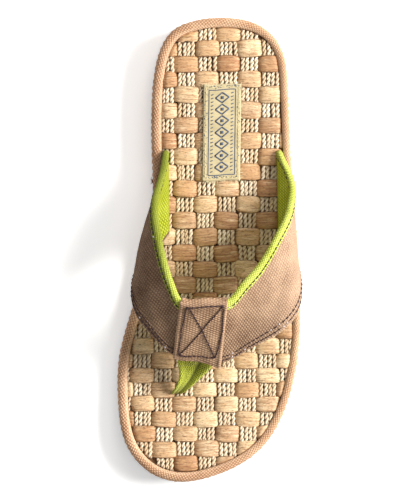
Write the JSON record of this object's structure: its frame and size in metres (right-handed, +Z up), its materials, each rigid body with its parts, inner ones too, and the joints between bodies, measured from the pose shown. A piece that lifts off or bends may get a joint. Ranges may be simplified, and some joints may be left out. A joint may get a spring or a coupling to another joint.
{
  "type": "toe post sandal",
  "caption": "Left toe post sandal with a woven footbed, a canvas V strap with a centre tab, a webbing toe post, and a wedge sole with a grooved rubber tread.",
  "frame": {"origin": "middle of the shoe's footprint, on the floor", "axes": "+Z up from the floor, +Y from the toe to the heel along the sole, +X towards the little toe's side"},
  "size_m": [0.1126, 0.285, 0.072],
  "materials": {
    "black_rubber": "matt moulded rubber",
    "tan_foam": "matt foam rubber",
    "woven_leaf": "flat leaf strips woven through twisted cords, slightly glossy",
    "peach_canvas": "coarse cotton canvas",
    "brown_canvas": "cotton canvas",
    "green_webbing": "ribbed cotton webbing",
    "cream_cloth": "plain cotton cloth"
  },
  "bodies": {
    "root": {"outsole": "black_rubber", "midsole": "tan_foam", "woven_insole": "woven_leaf", "edge_binding": "peach_canvas", "upper": "brown_canvas", "centre_tab": "brown_canvas", "toe_post": "green_webbing", "label": "cream_cloth"}
  },
  "joints": []
}
